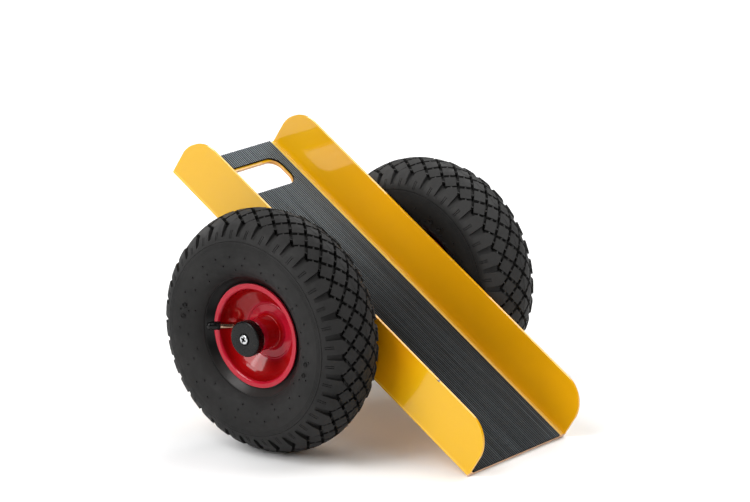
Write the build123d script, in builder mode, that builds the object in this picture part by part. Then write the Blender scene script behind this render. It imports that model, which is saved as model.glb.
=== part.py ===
from build123d import *
import os
from math import acos, asin, atan2, cos, degrees, floor, hypot, radians, sin, sqrt

# Panel cart: a folded steel tray with a ribbed rubber mat, carried at its middle by an axle
# with two pneumatic wheels. It rests on both tyres and on the low end of the tray.
# +X points to the low end, +Y to the left, +Z up. The origin is on the floor, in the middle
# of the cart's outline. All sizes are in millimetres and degrees.

# Tray
tray_width = 168.6  # over the outside of the walls
wall_height = 60.0  # from the underside of the base to the top of the walls
sheet = 3.0  # thickness of the steel
inner_bend = 0.5  # radius inside the two folds
outer_bend = 2.0  # radius outside the two folds
low_reach = 254.0  # from the axle to the end that rests on the floor
high_reach = 221.0  # from the axle to the end with the hand hole
wall_corner = 33.0  # radius of the walls' upper corners
hole_length = 37.0  # hand hole, along the tray
hole_width = 118.0  # hand hole, across the tray
hole_corner = 13.0
hole_margin = 25.2  # from the high end to the hand hole

# Mat
mat_thickness = 2.5
mat_side_gap = 7.0  # to the inside of each wall, before the mat's offset
mat_offset = 2.0  # from the middle of the tray, towards the right wall
mat_end_gap = 0.2  # to each end of the tray
mat_hole_gap = 2.0  # round the hand hole, before the slot's offset
slot_offset = 1.5  # of the mat's slot from the hand hole, towards the high end
mat_corner = 1.5
rib_pitch = 2.95
rib_foot = 2.1  # width of a rib where it leaves the mat
rib_height = 0.9
rib_flank = 70.0  # angle of a rib's sides

# Axle and its tube under the tray
axle_diameter = 20.0
tube_wall = 2.4
tube_clearance = 0.1  # radial, between the axle and its tube
weld_root = 14.0  # angle from the line of contact to the inner edge of a weld
weld_toe = 44.0  # angle from the line of contact to the outer edge of a weld
weld_leg = 10.5  # from the line of contact to the weld's edge on the base
weld_end_gap = 9.0  # from each end of a weld to the side of the tray
axle_chamfer = 1.0

# Wheel
tyre_diameter = 260.0
tyre_width = 89.0
tyre_gap = 5.0  # between the tray's wall and the tyre
crown_height = 40.0  # from the widest part of the tyre to its tread
tread_thickness = 12.0
sidewall = 6.5
flank_level = 11.7  # from the middle of the wheel to the middle of the sidewall's curve
crease_gap = 8.9  # from the edge of the lip to the crease at the foot of the sidewall
crease_height = 30.5  # from the middle of the wheel to the crease
foot_round = 1.0  # where the foot of the sidewall meets the lip
bead_width = 11.0
bead_height = 6.0
bead_heel = 2.5  # radius of the bead's outer corner
bead_toe = 1.0  # radius of the bead's inner corner
bead_clearance = 0.05  # between the bead and its seat
lip_clearance = 0.3  # between the sidewall and the edge of the lip
air_tube_wall = 2.5
air_tube_gap = 0.4  # between the air tube and the tyre, and to the valve's foot
neck_round = 7.0

# Rim: two pressed halves, back to back
lip_width = 6.5
lip_face = 26.2  # from the middle of the wheel to the face of the lip
rim_sheet = 2.0
bowl_mouth = 49.0  # radius of the bowl inside the lip
bowl_knee = 13.0  # height above the middle where the seat meets the cone
bowl_floor = 29.0  # radius of the flat bottom of the bowl
lip_round = 3.5
knee_round = 12.0
floor_round = 3.0
rim_weld = 3.5  # leg of the weld between hub and rim

# Hub and its bearings
hub_diameter = 35.0
hub_wall = 2.5
hub_length = 62.0
hub_chamfer = 0.6
hub_fit = 0.05  # radial, between the hub and the rim
side_play = 0.3  # between the hub and the washer at each end
roller_clearance = 0.05  # radial, on each side of a roller
roller_count = 10
roller_length = 16.0
pocket_clearance = 0.05
cage_length = 22.0
cage_clearance = 0.3
spacer_gap = 0.2  # between the spacer and each cage
washer_thickness = 1.5
washer_clearance = 0.15
washer_inset = 0.5  # of the washer's edge inside the hub's

# End cap and its screw
cap_diameter = 38.0
cap_thickness = 10.0
cap_round = 2.0
cap_socket = 4.0  # how far the axle reaches into the cap
cap_fit = 0.1  # radial, between the cap and the axle
screw_diameter = 6.0
screw_length = 17.0
screw_clearance = 0.2  # radial, in the cap
thread_clearance = 0.05  # radial, in the axle
head_diameter = 11.2
head_height = 4.6
head_edge = 3.6  # height of the head's straight edge
head_sink = 3.0  # depth of the seat for the head
head_clearance = 0.3
cross_span = 7.0
cross_width = 1.8
cross_depth = 2.0
tap_depth = 16.0  # depth of the threaded hole in the axle

# Valve, in the plane through the axle and the valve
valve_hole_share = 0.45  # place of the hole up the bowl's cone, from its floor to its mouth
valve_tip_reach = 3.0  # of the cap's tip past the bowl's mouth
valve_tip_height = 42.0  # from the middle of the wheel to the cap's tip
valve_lean = 38.0  # angle between the outer run of the stem and the axle
stem_diameter = 7.0
stem_bore = 4.0
stem_bend = 7.0
stem_clearance = 0.15
core_diameter = 3.6
core_length = 14.0
valve_cap_diameter = 9.0
valve_cap_length = 13.8
valve_cap_end = 1.8  # thickness of the cap's end
valve_cap_round = 1.2
foot_diameter = 10.0
foot_length = 6.0
foot_floor = 1.5
left_valve_angle = 62.0  # turn of the left wheel, from +X towards +Z
right_valve_angle = 173.8  # turn of the right wheel, from +X towards +Z

# Places that follow from the sizes
axle_radius = axle_diameter / 2
tube_radius = axle_radius + tube_clearance + tube_wall
tyre_radius = tyre_diameter / 2
widest_radius = tyre_radius - crown_height
lip_radius = bowl_mouth + lip_width
hub_radius = hub_diameter / 2
hub_bore = hub_radius - hub_wall
tray_length = low_reach + high_reach
base_under = tube_radius
base_top = base_under + sheet
wall_top = base_under + wall_height

# The low edge of the tray and the tyres stand on one floor, which sets the tilt
tilt = asin(tyre_radius / hypot(low_reach, base_under)) + atan2(base_under, low_reach)
nose = (low_reach - wall_corner) * cos(tilt) + (wall_top - wall_corner) * sin(tilt) + wall_corner
tail = -high_reach * cos(tilt) + base_under * sin(tilt)
axle_x = -(nose + tail) / 2
axle_z = tyre_radius

# Along the tray and square to its base
along = Vector(cos(tilt), 0, -sin(tilt))
normal = Vector(sin(tilt), 0, cos(tilt))
axle_centre = Vector(axle_x, 0, axle_z)
deck = Plane(axle_centre, x_dir=along, z_dir=normal)
side_view = Plane(axle_centre, x_dir=along, z_dir=(0, -1, 0))

# Stations from the middle of the cart out along the axle
wheel_y = tray_width / 2 + tyre_gap + tyre_width / 2
hub_inner_y = wheel_y - hub_length / 2
hub_outer_y = wheel_y + hub_length / 2
inner_washer_y = hub_inner_y - side_play - washer_thickness
outer_washer_y = hub_outer_y + side_play
cap_y = outer_washer_y + washer_thickness
axle_end_y = cap_y + cap_socket
cap_face_y = cap_y + cap_thickness
screw_seat_y = cap_face_y - head_sink

hole_centre = -high_reach + hole_margin + hole_length / 2


def section_across(distance):
    """The tray's cross-section at a distance from the axle: x to the left, y square to the base."""
    return Plane(axle_centre + along * distance, x_dir=(0, 1, 0), z_dir=along)


def facing_out(side, distance):
    """A plane square to the axle, at a distance from the middle, that faces out on one side."""
    return Plane((axle_x, side * distance, axle_z), x_dir=(1, 0, 0), z_dir=(0, side, 0))


def wheel_section(side, direction):
    """A plane through the wheel's axis: x is the radius, y runs along the axle in a direction."""
    return Plane((axle_x, side * wheel_y, axle_z), x_dir=(1, 0, 0), z_dir=(0, 0, direction))


def across_valve(valve_plane, point, way):
    """A plane across the valve at a point of the valve's plane, facing along a way in that plane."""
    start = valve_plane.from_local_coords(point)
    return Plane(start, z_dir=valve_plane.from_local_coords(point + way) - start)


def finish(piece, name):
    """Names a piece and writes it to its own file."""
    piece.part.label = name
    export_step(piece.part, f"parts/{name}.step")


os.makedirs("parts", exist_ok=True)
axle_axis = Axis(axle_centre, (0, 1, 0))

# Tray: a folded channel with rounded wall corners and a hand hole
with BuildPart() as tray:
    with BuildSketch(section_across(-high_reach)) as channel:
        with Locations((0, base_under)):
            Rectangle(tray_width, wall_height, align=(Align.CENTER, Align.MIN))
        with Locations((0, base_top)):
            Rectangle(
                tray_width - 2 * sheet,
                wall_height,
                align=(Align.CENTER, Align.MIN),
                mode=Mode.SUBTRACT,
            )
        fillet(channel.vertices().group_by(Axis.Y)[1], inner_bend)
        fillet(channel.vertices().group_by(Axis.Y)[0], outer_bend)
    extrude(amount=tray_length)
    with BuildSketch(side_view) as outline:
        with Locations(((low_reach - high_reach) / 2, base_under)):
            Rectangle(tray_length, wall_height, align=(Align.CENTER, Align.MIN))
        fillet(outline.vertices().group_by(Axis.Y)[-1], wall_corner)
    extrude(amount=tray_width, both=True, mode=Mode.INTERSECT)
    with BuildSketch(deck):
        with Locations((hole_centre, 0)):
            RectangleRounded(hole_length, hole_width, hole_corner)
    extrude(amount=wall_top, mode=Mode.SUBTRACT)
finish(tray, "tray")

# Mat: fine ribs along the tray, with a slot that clears the hand hole
mat_web = mat_thickness - rib_height
mat_width = tray_width - 2 * sheet - 2 * mat_side_gap
mat_length = tray_length - 2 * mat_end_gap
rib_side_count = floor((mat_width - rib_foot) / 2 / rib_pitch)
with BuildPart() as deck_mat:
    with BuildSketch(section_across(mat_end_gap - high_reach)):
        with Locations((-mat_offset, base_top)):
            Rectangle(mat_width, mat_web, align=(Align.CENTER, Align.MIN))
        with Locations((-mat_offset, base_top + mat_web)):
            with GridLocations(rib_pitch, 0, 2 * rib_side_count + 1, 1):
                Trapezoid(rib_foot, rib_height, rib_flank, align=(Align.CENTER, Align.MIN))
    extrude(amount=mat_length)
    with BuildSketch(deck):
        with Locations(((low_reach - high_reach) / 2, -mat_offset)):
            RectangleRounded(mat_length, mat_width, mat_corner)
        with Locations((hole_centre - slot_offset, 0)):
            RectangleRounded(
                hole_length + 2 * mat_hole_gap,
                hole_width + 2 * mat_hole_gap,
                hole_corner + mat_hole_gap,
                mode=Mode.SUBTRACT,
            )
    extrude(amount=wall_top, mode=Mode.INTERSECT)
finish(deck_mat, "deck_mat")

# Axle tube, across the underside of the base
with BuildPart() as axle_tube:
    with BuildSketch(facing_out(1, 0)):
        Circle(tube_radius)
        Circle(axle_radius + tube_clearance, mode=Mode.SUBTRACT)
    extrude(amount=inner_washer_y, both=True)
finish(axle_tube, "axle_tube")

# Welds along both sides of the tube's line of contact with the base
with BuildPart() as tube_welds:
    with BuildSketch(side_view):
        with BuildLine():
            weld_bed = CenterArc((0, 0), tube_radius, 90 - weld_toe, weld_toe - weld_root)
            Polyline(
                weld_bed @ 0,
                (weld_leg, base_under),
                (tube_radius * sin(radians(weld_root)), base_under),
                weld_bed @ 1,
            )
        make_face()
        mirror(about=Plane.YZ)
    extrude(amount=tray_width / 2 - weld_end_gap, both=True)
finish(tube_welds, "tube_welds")

# Axle: a round bar with a threaded hole in each end
with BuildPart() as axle:
    with BuildSketch(facing_out(1, 0)):
        Circle(axle_radius)
    extrude(amount=axle_end_y, both=True)
    chamfer(axle.edges().filter_by(GeomType.CIRCLE), axle_chamfer)
    for side in (-1, 1):
        with BuildSketch(facing_out(side, axle_end_y)):
            Circle(screw_diameter / 2 + thread_clearance)
        extrude(amount=-tap_depth, mode=Mode.SUBTRACT)
finish(axle, "axle")

# Pieces on the ends of the axle that don't turn
for side, hand in ((1, "left"), (-1, "right")):
    for place, washer_y in (("inner", inner_washer_y), ("outer", outer_washer_y)):
        with BuildPart() as washer:
            with BuildSketch(facing_out(side, washer_y)):
                Circle(hub_radius - washer_inset)
                Circle(axle_radius + washer_clearance, mode=Mode.SUBTRACT)
            extrude(amount=washer_thickness)
        finish(washer, f"{hand}_{place}_washer")

    with BuildPart() as end_cap:
        with BuildSketch(facing_out(side, cap_y)):
            Circle(cap_diameter / 2)
        extrude(amount=cap_thickness)
        fillet(end_cap.faces().sort_by(Axis(axle_centre, (0, side, 0)))[-1].edges(), cap_round)
        with BuildSketch(facing_out(side, cap_y)):
            Circle(axle_radius + cap_fit)
        extrude(amount=cap_socket, mode=Mode.SUBTRACT)
        with BuildSketch(facing_out(side, cap_y)):
            Circle(screw_diameter / 2 + screw_clearance)
        extrude(amount=cap_thickness, mode=Mode.SUBTRACT)
        with BuildSketch(facing_out(side, screw_seat_y)):
            Circle(head_diameter / 2 + head_clearance)
        extrude(amount=head_sink, mode=Mode.SUBTRACT)
    finish(end_cap, f"{hand}_end_cap")

    with BuildPart() as cap_screw:
        with BuildSketch(Plane((axle_x, side * screw_seat_y, axle_z), x_dir=(1, 0, 0), z_dir=(0, 0, side))):
            with BuildLine():
                dome = TangentArc((0, head_height), (head_diameter / 2, head_edge), tangent=(1, 0))
                Polyline(
                    dome @ 1,
                    (head_diameter / 2, 0),
                    (screw_diameter / 2, 0),
                    (screw_diameter / 2, -screw_length),
                    (0, -screw_length),
                    dome @ 0,
                )
            make_face()
        revolve(axis=axle_axis)
        with BuildSketch(facing_out(side, screw_seat_y + head_height)):
            Rectangle(cross_span, cross_width)
            Rectangle(cross_width, cross_span)
        extrude(amount=-cross_depth, mode=Mode.SUBTRACT)
    finish(cap_screw, f"{hand}_cap_screw")


# Wheel places that follow from the sizes
lip_back = lip_face - rim_sheet
bead_seat = bowl_mouth + rim_sheet + bead_clearance
bead_top = bead_seat + bead_height
bead_side = lip_back - bead_width
half_width = tyre_width / 2
inner_width = half_width - sidewall
inner_crown = tyre_radius - tread_thickness
crease_radius = lip_radius + crease_gap
crease_share = (crease_height - flank_level) / (half_width - flank_level)
flank_reach = (widest_radius - crease_radius) / sqrt(1 - crease_share**2)
roller_orbit = (axle_radius + hub_bore) / 2
roller_radius = (hub_bore - axle_radius) / 2 - roller_clearance
cage_outer = hub_bore - cage_clearance
cage_inner = axle_radius + cage_clearance
spacer_length = hub_length - 2 * cage_length - 2 * spacer_gap
cage_offset = (hub_length - cage_length) / 2

# The valve leaves the bowl's cone squarely, then bends outward to its tip
cone_foot = Vector(bowl_floor, rim_sheet)
cone_run = (Vector(bowl_mouth, bowl_knee) - cone_foot).normalized()
valve_exit = cone_foot + Vector(bowl_mouth - bowl_floor, bowl_knee - rim_sheet) * valve_hole_share
exit_way = Vector(-cone_run.Y, cone_run.X)
tip_way = Vector(sin(radians(valve_lean)), cos(radians(valve_lean)))
valve_tip = Vector(bowl_mouth + valve_tip_reach, valve_tip_height)
exit_run = (valve_tip - valve_exit).cross(tip_way).Z / exit_way.cross(tip_way).Z
stem_corner = valve_exit + exit_way * exit_run
stem_foot = valve_exit - exit_way * (rim_sheet + foot_length - foot_floor)
stem_end = valve_tip - tip_way * (valve_cap_end + stem_clearance)
foot_corner = valve_exit - exit_way * (rim_sheet + foot_length) + cone_run * (foot_diameter / 2)

# The air tube reaches down between the two halves of the rim as far as the valve's foot
air_tube_foot = foot_corner.X + air_tube_gap
cone_back = rim_sheet + (air_tube_foot - bowl_floor) * cone_run.Y / cone_run.X - rim_sheet / cone_run.X
air_tube_neck = 2 * (cone_back - air_tube_gap)

for side, hand, valve_angle in ((1, "left", left_valve_angle), (-1, "right", right_valve_angle)):
    wheel_centre = Vector(axle_x, side * wheel_y, axle_z)
    outward = Vector(0, side, 0)
    valve_radius = Vector(cos(radians(valve_angle)), 0, sin(radians(valve_angle)))
    valve_plane = Plane(wheel_centre, x_dir=valve_radius, z_dir=valve_radius.cross(outward))

    # Tyre: a hollow casing whose beads sit behind the lips of the rim
    with BuildPart() as tyre:
        with BuildSketch(wheel_section(side, side)):
            with BuildLine():
                crown = EllipticalCenterArc((widest_radius, 0), tyre_radius - widest_radius, half_width)
                flank = EllipticalCenterArc(
                    (widest_radius, flank_level),
                    flank_reach,
                    half_width - flank_level,
                    90,
                    arc_size=degrees(acos(crease_share)),
                )
                inner_flank = EllipticalCenterArc(
                    (widest_radius, 0),
                    widest_radius - bead_top,
                    inner_width,
                    90,
                    arc_size=degrees(acos(bead_side / inner_width)),
                )
                FilletPolyline(
                    flank @ 1,
                    (lip_radius + lip_clearance, lip_back),
                    (bead_seat, lip_back),
                    (bead_seat, bead_side),
                    inner_flank @ 1,
                    radius=(foot_round, bead_heel, bead_toe),
                )
                liner = EllipticalCenterArc((widest_radius, 0), inner_crown - widest_radius, inner_width)
                Line(liner @ 0, crown @ 0)
            make_face()
            mirror(about=Plane.XZ)
        revolve(axis=axle_axis)
    finish(tyre, f"{hand}_tyre")

    # Air tube: a hollow ring that fills the tyre and reaches into the well of the rim
    with BuildPart() as inner_tube:
        for inset, tube_mode in ((0, Mode.ADD), (air_tube_wall, Mode.SUBTRACT)):
            with BuildSketch(wheel_section(side, side)) as ring:
                with BuildLine():
                    EllipticalCenterArc(
                        (widest_radius, 0),
                        inner_crown - widest_radius - air_tube_gap - inset,
                        inner_width - air_tube_gap - inset,
                        -90,
                        arc_size=180,
                    )
                    EllipticalCenterArc(
                        (widest_radius, 0),
                        widest_radius - bead_top - air_tube_gap - inset,
                        inner_width - air_tube_gap - inset,
                        90,
                        arc_size=180,
                    )
                make_face()
                with Locations((air_tube_foot + inset, 0)):
                    Rectangle(
                        widest_radius - air_tube_foot - inset,
                        air_tube_neck - 2 * inset,
                        align=(Align.MIN, Align.CENTER),
                    )
                fillet(ring.vertices().group_by(Axis.X)[0], neck_round - inset)
            revolve(axis=axle_axis, mode=tube_mode)
    finish(inner_tube, f"{hand}_inner_tube")

    # Rim: one pressed half faces out, with the valve's hole, and one faces in
    for half, direction in (("outer", side), ("inner", -side)):
        with BuildPart() as rim:
            with BuildSketch(wheel_section(side, direction)):
                with BuildLine():
                    FilletPolyline(
                        (lip_radius, lip_face),
                        (bowl_mouth, lip_face),
                        (bowl_mouth, bowl_knee),
                        cone_foot,
                        (hub_radius + hub_fit, rim_sheet),
                        radius=(lip_round, knee_round, floor_round),
                    )
                    offset(amount=rim_sheet, side=Side.LEFT)
                make_face()
            revolve(axis=axle_axis)
            if half == "outer":
                with BuildSketch(across_valve(valve_plane, valve_exit, exit_way)):
                    Circle(stem_diameter / 2 + stem_clearance)
                extrude(amount=2 * rim_sheet, both=True, mode=Mode.SUBTRACT)
        finish(rim, f"{hand}_rim_{half}")

    # Hub: a tube through both halves, welded to each
    with BuildPart() as hub_tube:
        with BuildSketch(facing_out(side, wheel_y)):
            Circle(hub_radius)
            Circle(hub_bore, mode=Mode.SUBTRACT)
        extrude(amount=hub_length / 2, both=True)
        chamfer(hub_tube.edges().filter_by(GeomType.CIRCLE).sort_by(SortBy.RADIUS)[-2:], hub_chamfer)
    finish(hub_tube, f"{hand}_hub_tube")

    with BuildPart() as hub_welds:
        with BuildSketch(wheel_section(side, side)):
            with BuildLine():
                Polyline(
                    (hub_radius + hub_fit, rim_sheet),
                    (hub_radius + hub_fit + rim_weld, rim_sheet),
                    (hub_radius + hub_fit, rim_sheet + rim_weld),
                    close=True,
                )
            make_face()
            mirror(about=Plane.XZ)
        revolve(axis=axle_axis)
    finish(hub_welds, f"{hand}_hub_welds")

    # Roller bearings: a cage of rollers at each end of the hub and a sleeve between them
    with BuildPart() as bearing_cages:
        for end in (-1, 1):
            with BuildSketch(facing_out(side, wheel_y + end * cage_offset)):
                Circle(cage_outer)
                Circle(cage_inner, mode=Mode.SUBTRACT)
            extrude(amount=cage_length / 2, both=True)
            with BuildSketch(facing_out(side, wheel_y + end * cage_offset)):
                with PolarLocations(roller_orbit, roller_count):
                    Circle(roller_radius + pocket_clearance)
            extrude(amount=roller_length / 2 + pocket_clearance, both=True, mode=Mode.SUBTRACT)
    finish(bearing_cages, f"{hand}_bearing_cages")

    with BuildPart() as bearing_rollers:
        for end in (-1, 1):
            with BuildSketch(facing_out(side, wheel_y + end * cage_offset)):
                with PolarLocations(roller_orbit, roller_count):
                    Circle(roller_radius)
            extrude(amount=roller_length / 2, both=True)
    finish(bearing_rollers, f"{hand}_bearing_rollers")

    with BuildPart() as bearing_spacer:
        with BuildSketch(facing_out(side, wheel_y)):
            Circle(cage_outer)
            Circle(cage_inner, mode=Mode.SUBTRACT)
        extrude(amount=spacer_length / 2, both=True)
    finish(bearing_spacer, f"{hand}_bearing_spacer")

    # Valve: a rubber foot on the air tube, a bent stem through the rim, its core and its cap
    with BuildPart() as valve_base:
        with BuildSketch(across_valve(valve_plane, valve_exit - exit_way * rim_sheet, exit_way)):
            Circle(foot_diameter / 2)
        extrude(amount=-foot_length)
        with BuildSketch(across_valve(valve_plane, valve_exit - exit_way * rim_sheet, exit_way)):
            Circle(stem_diameter / 2 + stem_clearance)
        extrude(amount=foot_floor - foot_length, mode=Mode.SUBTRACT)
    finish(valve_base, f"{hand}_valve_base")

    with BuildPart() as valve_stem:
        with BuildLine():
            stem_points = [valve_plane.from_local_coords(p) for p in (stem_foot, stem_corner, stem_end)]
            FilletPolyline(stem_points, radius=stem_bend)
        with BuildSketch(across_valve(valve_plane, stem_foot, exit_way)):
            Circle(stem_diameter / 2)
            Circle(stem_bore / 2, mode=Mode.SUBTRACT)
        sweep()
    finish(valve_stem, f"{hand}_valve_stem")

    with BuildPart() as valve_core:
        with BuildSketch(across_valve(valve_plane, stem_end, tip_way)):
            Circle(core_diameter / 2)
        extrude(amount=-core_length)
    finish(valve_core, f"{hand}_valve_core")

    with BuildPart() as valve_cap:
        with BuildSketch(across_valve(valve_plane, valve_tip, tip_way)):
            Circle(valve_cap_diameter / 2)
        extrude(amount=-valve_cap_length)
        tip_face = valve_cap.faces().sort_by_distance(valve_plane.from_local_coords(valve_tip))[0]
        fillet(tip_face.edges(), valve_cap_round)
        with BuildSketch(across_valve(valve_plane, valve_tip - tip_way * valve_cap_length, tip_way)):
            Circle(stem_diameter / 2 + stem_clearance)
        extrude(amount=valve_cap_length - valve_cap_end, mode=Mode.SUBTRACT)
    finish(valve_cap, f"{hand}_valve_cap")
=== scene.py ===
from math import atan2, cos, hypot, pi, radians, sin, sqrt
import bmesh
import bpy
from mathutils import Matrix, Vector


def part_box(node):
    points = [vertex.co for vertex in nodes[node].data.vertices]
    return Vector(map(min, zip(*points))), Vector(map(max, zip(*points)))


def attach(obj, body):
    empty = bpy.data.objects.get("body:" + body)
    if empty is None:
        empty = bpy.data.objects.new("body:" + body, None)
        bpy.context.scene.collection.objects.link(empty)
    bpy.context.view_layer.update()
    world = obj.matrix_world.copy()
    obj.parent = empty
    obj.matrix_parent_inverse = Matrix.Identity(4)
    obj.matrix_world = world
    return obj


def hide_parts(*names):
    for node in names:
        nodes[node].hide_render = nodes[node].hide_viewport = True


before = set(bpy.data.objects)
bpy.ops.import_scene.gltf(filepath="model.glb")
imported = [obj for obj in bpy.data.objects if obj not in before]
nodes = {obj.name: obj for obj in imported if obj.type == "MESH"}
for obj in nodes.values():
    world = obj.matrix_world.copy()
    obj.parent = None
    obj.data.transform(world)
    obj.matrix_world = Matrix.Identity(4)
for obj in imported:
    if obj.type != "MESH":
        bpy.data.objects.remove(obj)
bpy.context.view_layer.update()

# Tray: one sheet of 3 mm steel with a hand hole near its high end, folded up along both sides
# into a channel. A glossy yellow powder coat covers it and softens its cut edges. The coat is
# worn along them and chipped in a few places, most of all at a scuff on the right wall. Light
# is painted into the coat too: a peach painted reflection on the cut edges at the low end and
# round the hand hole, a painted highlight strip beside the mat, and painted shade on the walls'
# outer faces by the tyres.
axle_spot = (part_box("axle")[0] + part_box("axle")[1]) / 2
tilt = radians(33.5607)
low_reach = 0.254
high_reach = 0.221
tray_width = 0.1686
wall_height = 0.060
sheet = 0.003
outer_bend = 0.002
inner_bend = 0.0005
wall_corner = 0.033
edge_round = 0.0004
base_under = 0.0125
base_top = base_under + sheet
wall_top = base_under + wall_height
tray_middle = (low_reach - high_reach) / 2
hole_length = 0.037
hole_width = 0.118
hole_corner = 0.013
hole_margin = 0.0252
hole_middle = -high_reach + hole_margin + hole_length / 2
cutter_height = 0.03
touch = 0.0001
scuff = (0.168, -tray_width / 2 + sheet / 2, wall_top)
scuff_core = 0.002
scuff_reach = 0.011
# An edge's band, used both for wear and for painted light, starts and is full this far inside it.
wear_and_light_start = 0.0012
wear_and_light_full = 0.0004
low_rim = low_reach - 0.0002
# The painted reflection round the hand hole is full and ends this far outside it.
hole_reflection_full = 0.0002
hole_reflection_end = 0.0006
# The painted highlight strip beside the mat and the painted highlight line in the fold start and are full
# this far out.
highlight_start = 0.065
highlight_full = 0.067
fold_highlight_start = 0.0793
fold_highlight_full = 0.0805


def take(piece):
    """Makes a piece the only one selected, and the active one."""
    bpy.ops.object.select_all(action="DESELECT")
    piece.select_set(True)
    bpy.context.view_layer.objects.active = piece


def pick(piece, kind, test):
    """In edit mode, selects only the vertices, edges or faces whose middle passes a test."""
    bpy.context.tool_settings.mesh_select_mode = [kind == name for name in ("verts", "edges", "faces")]
    bpy.ops.mesh.select_all(action="DESELECT")
    mesh = bmesh.from_edit_mesh(piece.data)
    for part in getattr(mesh, kind):
        corners = [part.co] if kind == "verts" else [corner.co for corner in part.verts]
        if test(sum(corners, Vector()) / len(corners)):
            part.select_set(True)
    mesh.select_flush_mode()
    bmesh.update_edit_mesh(piece.data)


def rounded_block(length, width, height, corner, middle):
    """A box with its four upright edges rounded, which cuts a slot or an outline."""
    bpy.ops.object.select_all(action="DESELECT")
    bpy.ops.mesh.primitive_cube_add(size=1, location=middle)
    block = bpy.context.object
    block.scale = (length, width, height)
    bpy.ops.object.transform_apply(location=True, rotation=True, scale=True)
    bpy.ops.object.mode_set(mode="EDIT")
    pick(block, "edges", lambda at: abs(at.z - middle[2]) < height / 4)
    bpy.ops.mesh.bevel(offset=corner, segments=14, affect="EDGES")
    bpy.ops.object.mode_set(mode="OBJECT")
    return block


def cut(piece, cutter, way):
    """Cuts a piece with another one, which is then taken away."""
    take(piece)
    saw = piece.modifiers.new("saw", "BOOLEAN")
    saw.operation = way
    saw.solver = "EXACT"
    saw.object = cutter
    bpy.ops.object.modifier_apply(modifier=saw.name)
    bpy.data.objects.remove(cutter)


def soften(piece, width, segments, angle):
    """Rounds a piece's sharp edges and evens out the shading of its flat faces."""
    take(piece)
    edge = piece.modifiers.new("edge", "BEVEL")
    edge.width = width
    edge.segments = segments
    edge.limit_method = "ANGLE"
    edge.angle_limit = radians(angle)
    bpy.ops.object.modifier_apply(modifier=edge.name)
    bpy.ops.object.shade_smooth_by_angle(angle=radians(angle))
    even = piece.modifiers.new("even", "WEIGHTED_NORMAL")
    even.keep_sharp = True
    bpy.ops.object.modifier_apply(modifier=even.name)


def lay_on_tray(piece):
    """Tilts a piece that was modelled level, with the axle at the origin, into its place."""
    take(piece)
    piece.location = axle_spot
    piece.rotation_euler = (0, tilt, 0)
    bpy.ops.object.transform_apply(location=True, rotation=True, scale=True)


bpy.ops.object.select_all(action="DESELECT")
bpy.ops.mesh.primitive_plane_add(size=1, location=(tray_middle, 0, base_under))
tray = bpy.context.object
tray.name = "folded_tray"
tray.scale = (low_reach + high_reach, tray_width, 1)
bpy.ops.object.transform_apply(location=True, rotation=True, scale=True)
bpy.ops.object.mode_set(mode="EDIT")
pick(tray, "edges", lambda at: abs(at.y) > tray_width / 2 - touch)
bpy.ops.mesh.extrude_region_move(TRANSFORM_OT_translate={"value": (0, 0, wall_height)})
pick(tray, "verts", lambda at: at.z > wall_top - touch)
bpy.ops.mesh.bevel(offset=wall_corner, segments=28, affect="VERTICES")
bpy.ops.object.mode_set(mode="OBJECT")
thickness = tray.modifiers.new("thickness", "SOLIDIFY")
thickness.thickness = sheet
thickness.offset = 1
thickness.use_even_offset = True
bpy.ops.object.modifier_apply(modifier=thickness.name)
bpy.ops.object.mode_set(mode="EDIT")
for inset, bend in ((0.0, outer_bend), (sheet, inner_bend)):
    fold = Vector((tray_middle, tray_width / 2 - inset, base_under + inset))
    pick(tray, "edges", lambda at: (Vector((at.x, abs(at.y), at.z)) - fold).length < touch)
    bpy.ops.mesh.bevel(offset=bend, segments=8, affect="EDGES")
bpy.ops.object.mode_set(mode="OBJECT")
hand_hole = rounded_block(hole_length, hole_width, cutter_height, hole_corner, (hole_middle, 0, base_under))
cut(tray, hand_hole, "DIFFERENCE")
soften(tray, edge_round, 3, 40)
lay_on_tray(tray)


def new_finish(name):
    """A new material: itself, its node tree, its shader and the piece's own coordinates."""
    finish = bpy.data.materials.new(name)
    finish.use_nodes = True
    tree = finish.node_tree
    at = tree.nodes.new("ShaderNodeTexCoord").outputs["Object"]
    return finish, tree, tree.nodes["Principled BSDF"], at


def fill(tree, node, inputs):
    """Fills a node's inputs with values or with other nodes' outputs."""
    for key, value in inputs.items():
        if isinstance(value, bpy.types.NodeSocket):
            tree.links.new(value, node.inputs[key])
        else:
            node.inputs[key].default_value = value


def add(tree, kind, inputs, **options):
    """Adds a node with its options and its inputs."""
    made = tree.nodes.new(kind)
    for key, value in options.items():
        setattr(made, key, value)
    fill(tree, made, inputs)
    return made


def tray_place(tree, at):
    """Where a point lies on the level tray: as one place, and along, across and up by itself."""
    turned_back = {"Vector": at, "Location": axle_spot, "Rotation": (0, tilt, 0)}
    place = add(tree, "ShaderNodeMapping", turned_back, vector_type="TEXTURE").outputs[0]
    return place, *add(tree, "ShaderNodeSeparateXYZ", {"Vector": place}).outputs


def grain(tree, at, scale, detail=3.0):
    """A soft random pattern from 0 to 1."""
    return add(tree, "ShaderNodeTexNoise", {"Vector": at, "Scale": scale, "Detail": detail}).outputs[0]


def reach(tree, value, low, high, new_low, new_high):
    """Stretches a value from one range to another."""
    ends = {"Value": value, "From Min": low, "From Max": high, "To Min": new_low, "To Max": new_high}
    return add(tree, "ShaderNodeMapRange", ends).outputs[0]


def reckon(tree, way, *values):
    """A sum, product, difference or other result of values."""
    return add(tree, "ShaderNodeMath", dict(enumerate(values)), operation=way).outputs[0]


def tint(tree, value, *stops):
    """Turns a value into a colour by stops of (value, red, green, blue)."""
    ramp = add(tree, "ShaderNodeValToRGB", {"Fac": value})
    elements = ramp.color_ramp.elements
    while len(elements) < len(stops):
        elements.new(0.5)
    for element, (spot, red, green, blue) in zip(elements, stops):
        element.position = spot
        element.color = (red, green, blue, 1)
    return ramp.outputs[0]


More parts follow.
